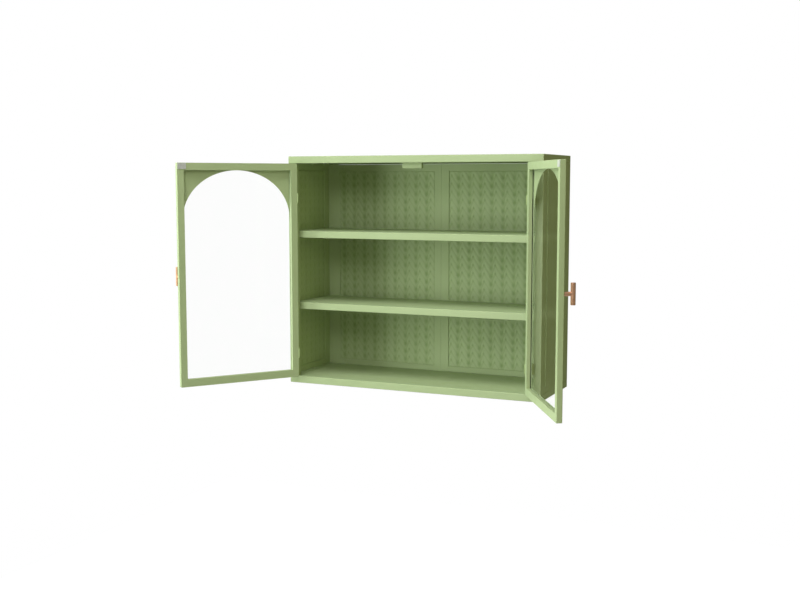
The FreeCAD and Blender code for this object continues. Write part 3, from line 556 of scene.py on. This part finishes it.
# Stage
def plane(name, size, height, material):
    mesh = bpy.data.meshes.new(name)
    half = size / 2
    corners = [(-half, -half, height), (half, -half, height), (half, half, height), (-half, half, height)]
    mesh.from_pydata(corners, [], [(0, 1, 2, 3)])
    obj = bpy.data.objects.new(name, mesh)
    bpy.context.collection.objects.link(obj)
    mesh.materials.append(material)


def seen_rays(tree):
    """1 for camera and transmission rays, else 0."""
    path = node(tree, "ShaderNodeLightPath")
    either = node(tree, "ShaderNodeMath", operation="MAXIMUM")
    tree.links.new(path.outputs["Is Camera Ray"], either.inputs[0])
    tree.links.new(path.outputs["Is Transmission Ray"], either.inputs[1])
    return either.outputs[0]


def glow(tree, seen, strength):
    """Plain white light for the rays whose value is 1."""
    lift = node(tree, "ShaderNodeMath", operation="MULTIPLY")
    lift.inputs[1].default_value = strength
    tree.links.new(seen, lift.inputs[0])
    made = node(tree, "ShaderNodeEmission")
    made.inputs["Color"].default_value = (1, 1, 1, 1)
    tree.links.new(lift.outputs[0], made.inputs["Strength"])
    return made.outputs["Emission"]


def pale_floor():
    """A white floor that takes the shadow near the object and fades to plain white further out."""
    made, tree = shader("pale_floor")
    spot = place(tree)
    cloud = noise(tree, spot, *FLOOR_CLOUD)
    seen = seen_rays(tree)
    diffuse = node(tree, "ShaderNodeBsdfDiffuse")
    tone = blended(tree, ranged(tree, cloud, 0, 1), FLOOR_WHITE, FLOOR_WHITE_DEEP)
    tree.links.new(tone, diffuse.inputs["Color"])
    lifted = node(tree, "ShaderNodeAddShader")
    tree.links.new(diffuse.outputs["BSDF"], lifted.inputs[0])
    tree.links.new(glow(tree, seen, FLOOR_LIFT), lifted.inputs[1])
    far_off = node(tree, "ShaderNodeAddShader")
    dim = node(tree, "ShaderNodeBsdfDiffuse", Color=(*FLOOR_FAR, 1))
    tree.links.new(dim.outputs["BSDF"], far_off.inputs[0])
    tree.links.new(glow(tree, seen, 1.0), far_off.inputs[1])
    length = node(tree, "ShaderNodeVectorMath", operation="LENGTH")
    flat = node(tree, "ShaderNodeVectorMath", operation="MULTIPLY")
    flat.inputs[1].default_value = (1, 1, 0)
    tree.links.new(spot, flat.inputs[0])
    tree.links.new(flat.outputs["Vector"], length.inputs[0])
    mixed = node(tree, "ShaderNodeMixShader")
    tree.links.new(ranged(tree, length.outputs["Value"], 0, 1, *FLOOR_FADE), mixed.inputs["Fac"])
    tree.links.new(lifted.outputs["Shader"], mixed.inputs[1])
    tree.links.new(far_off.outputs["Shader"], mixed.inputs[2])
    finished(tree, mixed.outputs["Shader"])
    return made


def studio_world():
    """White to the camera, a soft ambient that is cool on the left, and mirror reflections bright there."""
    world = bpy.data.worlds.new("studio")
    world.use_nodes = True
    tree = world.node_tree
    tree.nodes.clear()
    ambient = node(tree, "ShaderNodeBackground")
    ambient.inputs["Strength"].default_value = AMBIENT
    toward = node(tree, "ShaderNodeTexCoord")
    parts = node(tree, "ShaderNodeSeparateXYZ")
    tree.links.new(toward.outputs["Generated"], parts.inputs["Vector"])
    from_side = ranged(tree, parts.outputs["X"], 0, 1, *AMBIENT_SPAN)
    tree.links.new(blended(tree, from_side, AMBIENT_LEFT, AMBIENT_RIGHT), ambient.inputs["Color"])
    mirrored = node(tree, "ShaderNodeBackground", Color=(*MIRRORED_COLOUR, 1))
    level = ranged(tree, parts.outputs["X"], *MIRRORED_LEVELS, *MIRRORED_SPAN)
    tree.links.new(level, mirrored.inputs["Strength"])
    path = node(tree, "ShaderNodeLightPath")
    hidden = node(tree, "ShaderNodeMixShader")
    tree.links.new(path.outputs["Is Glossy Ray"], hidden.inputs["Fac"])
    tree.links.new(ambient.outputs["Background"], hidden.inputs[1])
    tree.links.new(mirrored.outputs["Background"], hidden.inputs[2])
    white = node(tree, "ShaderNodeBackground")
    white.inputs["Color"].default_value = (1, 1, 1, 1)
    white.inputs["Strength"].default_value = 1.0
    mixed = node(tree, "ShaderNodeMixShader")
    tree.links.new(seen_rays(tree), mixed.inputs["Fac"])
    tree.links.new(hidden.outputs["Shader"], mixed.inputs[1])
    tree.links.new(white.outputs["Background"], mixed.inputs[2])
    output = node(tree, "ShaderNodeOutputWorld")
    tree.links.new(mixed.outputs["Shader"], output.inputs["Surface"])
    bpy.context.scene.world = world


def soft_box(name, spot, size, watts, colour, mirrored):
    """An area lamp turned towards the object, which the camera doesn't see."""
    light = bpy.data.lights.new(name, "AREA")
    light.shape = "RECTANGLE"
    light.size, light.size_y = size
    light.energy = watts
    light.color = colour
    obj = bpy.data.objects.new(name, light)
    obj.location = spot
    obj.rotation_euler = (Vector(LAMP_AIM) - Vector(spot)).to_track_quat("-Z", "Y").to_euler()
    obj.visible_camera = False
    obj.visible_glossy = mirrored
    bpy.context.collection.objects.link(obj)


plane("floor", FLOOR_SIZE, FLOOR_LEVEL, pale_floor())
studio_world()
for row in LAMPS:
    soft_box(*row)

camera = bpy.data.objects.new("camera", bpy.data.cameras.new("camera"))
camera.data.lens = CAMERA_LENS
camera.data.sensor_width = CAMERA_SENSOR
camera.location = CAMERA_SPOT
camera.rotation_euler = (math.radians(90 - CAMERA_DIP), 0, math.radians(CAMERA_TURN))
bpy.context.collection.objects.link(camera)
bpy.context.scene.camera = camera
bpy.context.scene.view_settings.view_transform = "Standard"
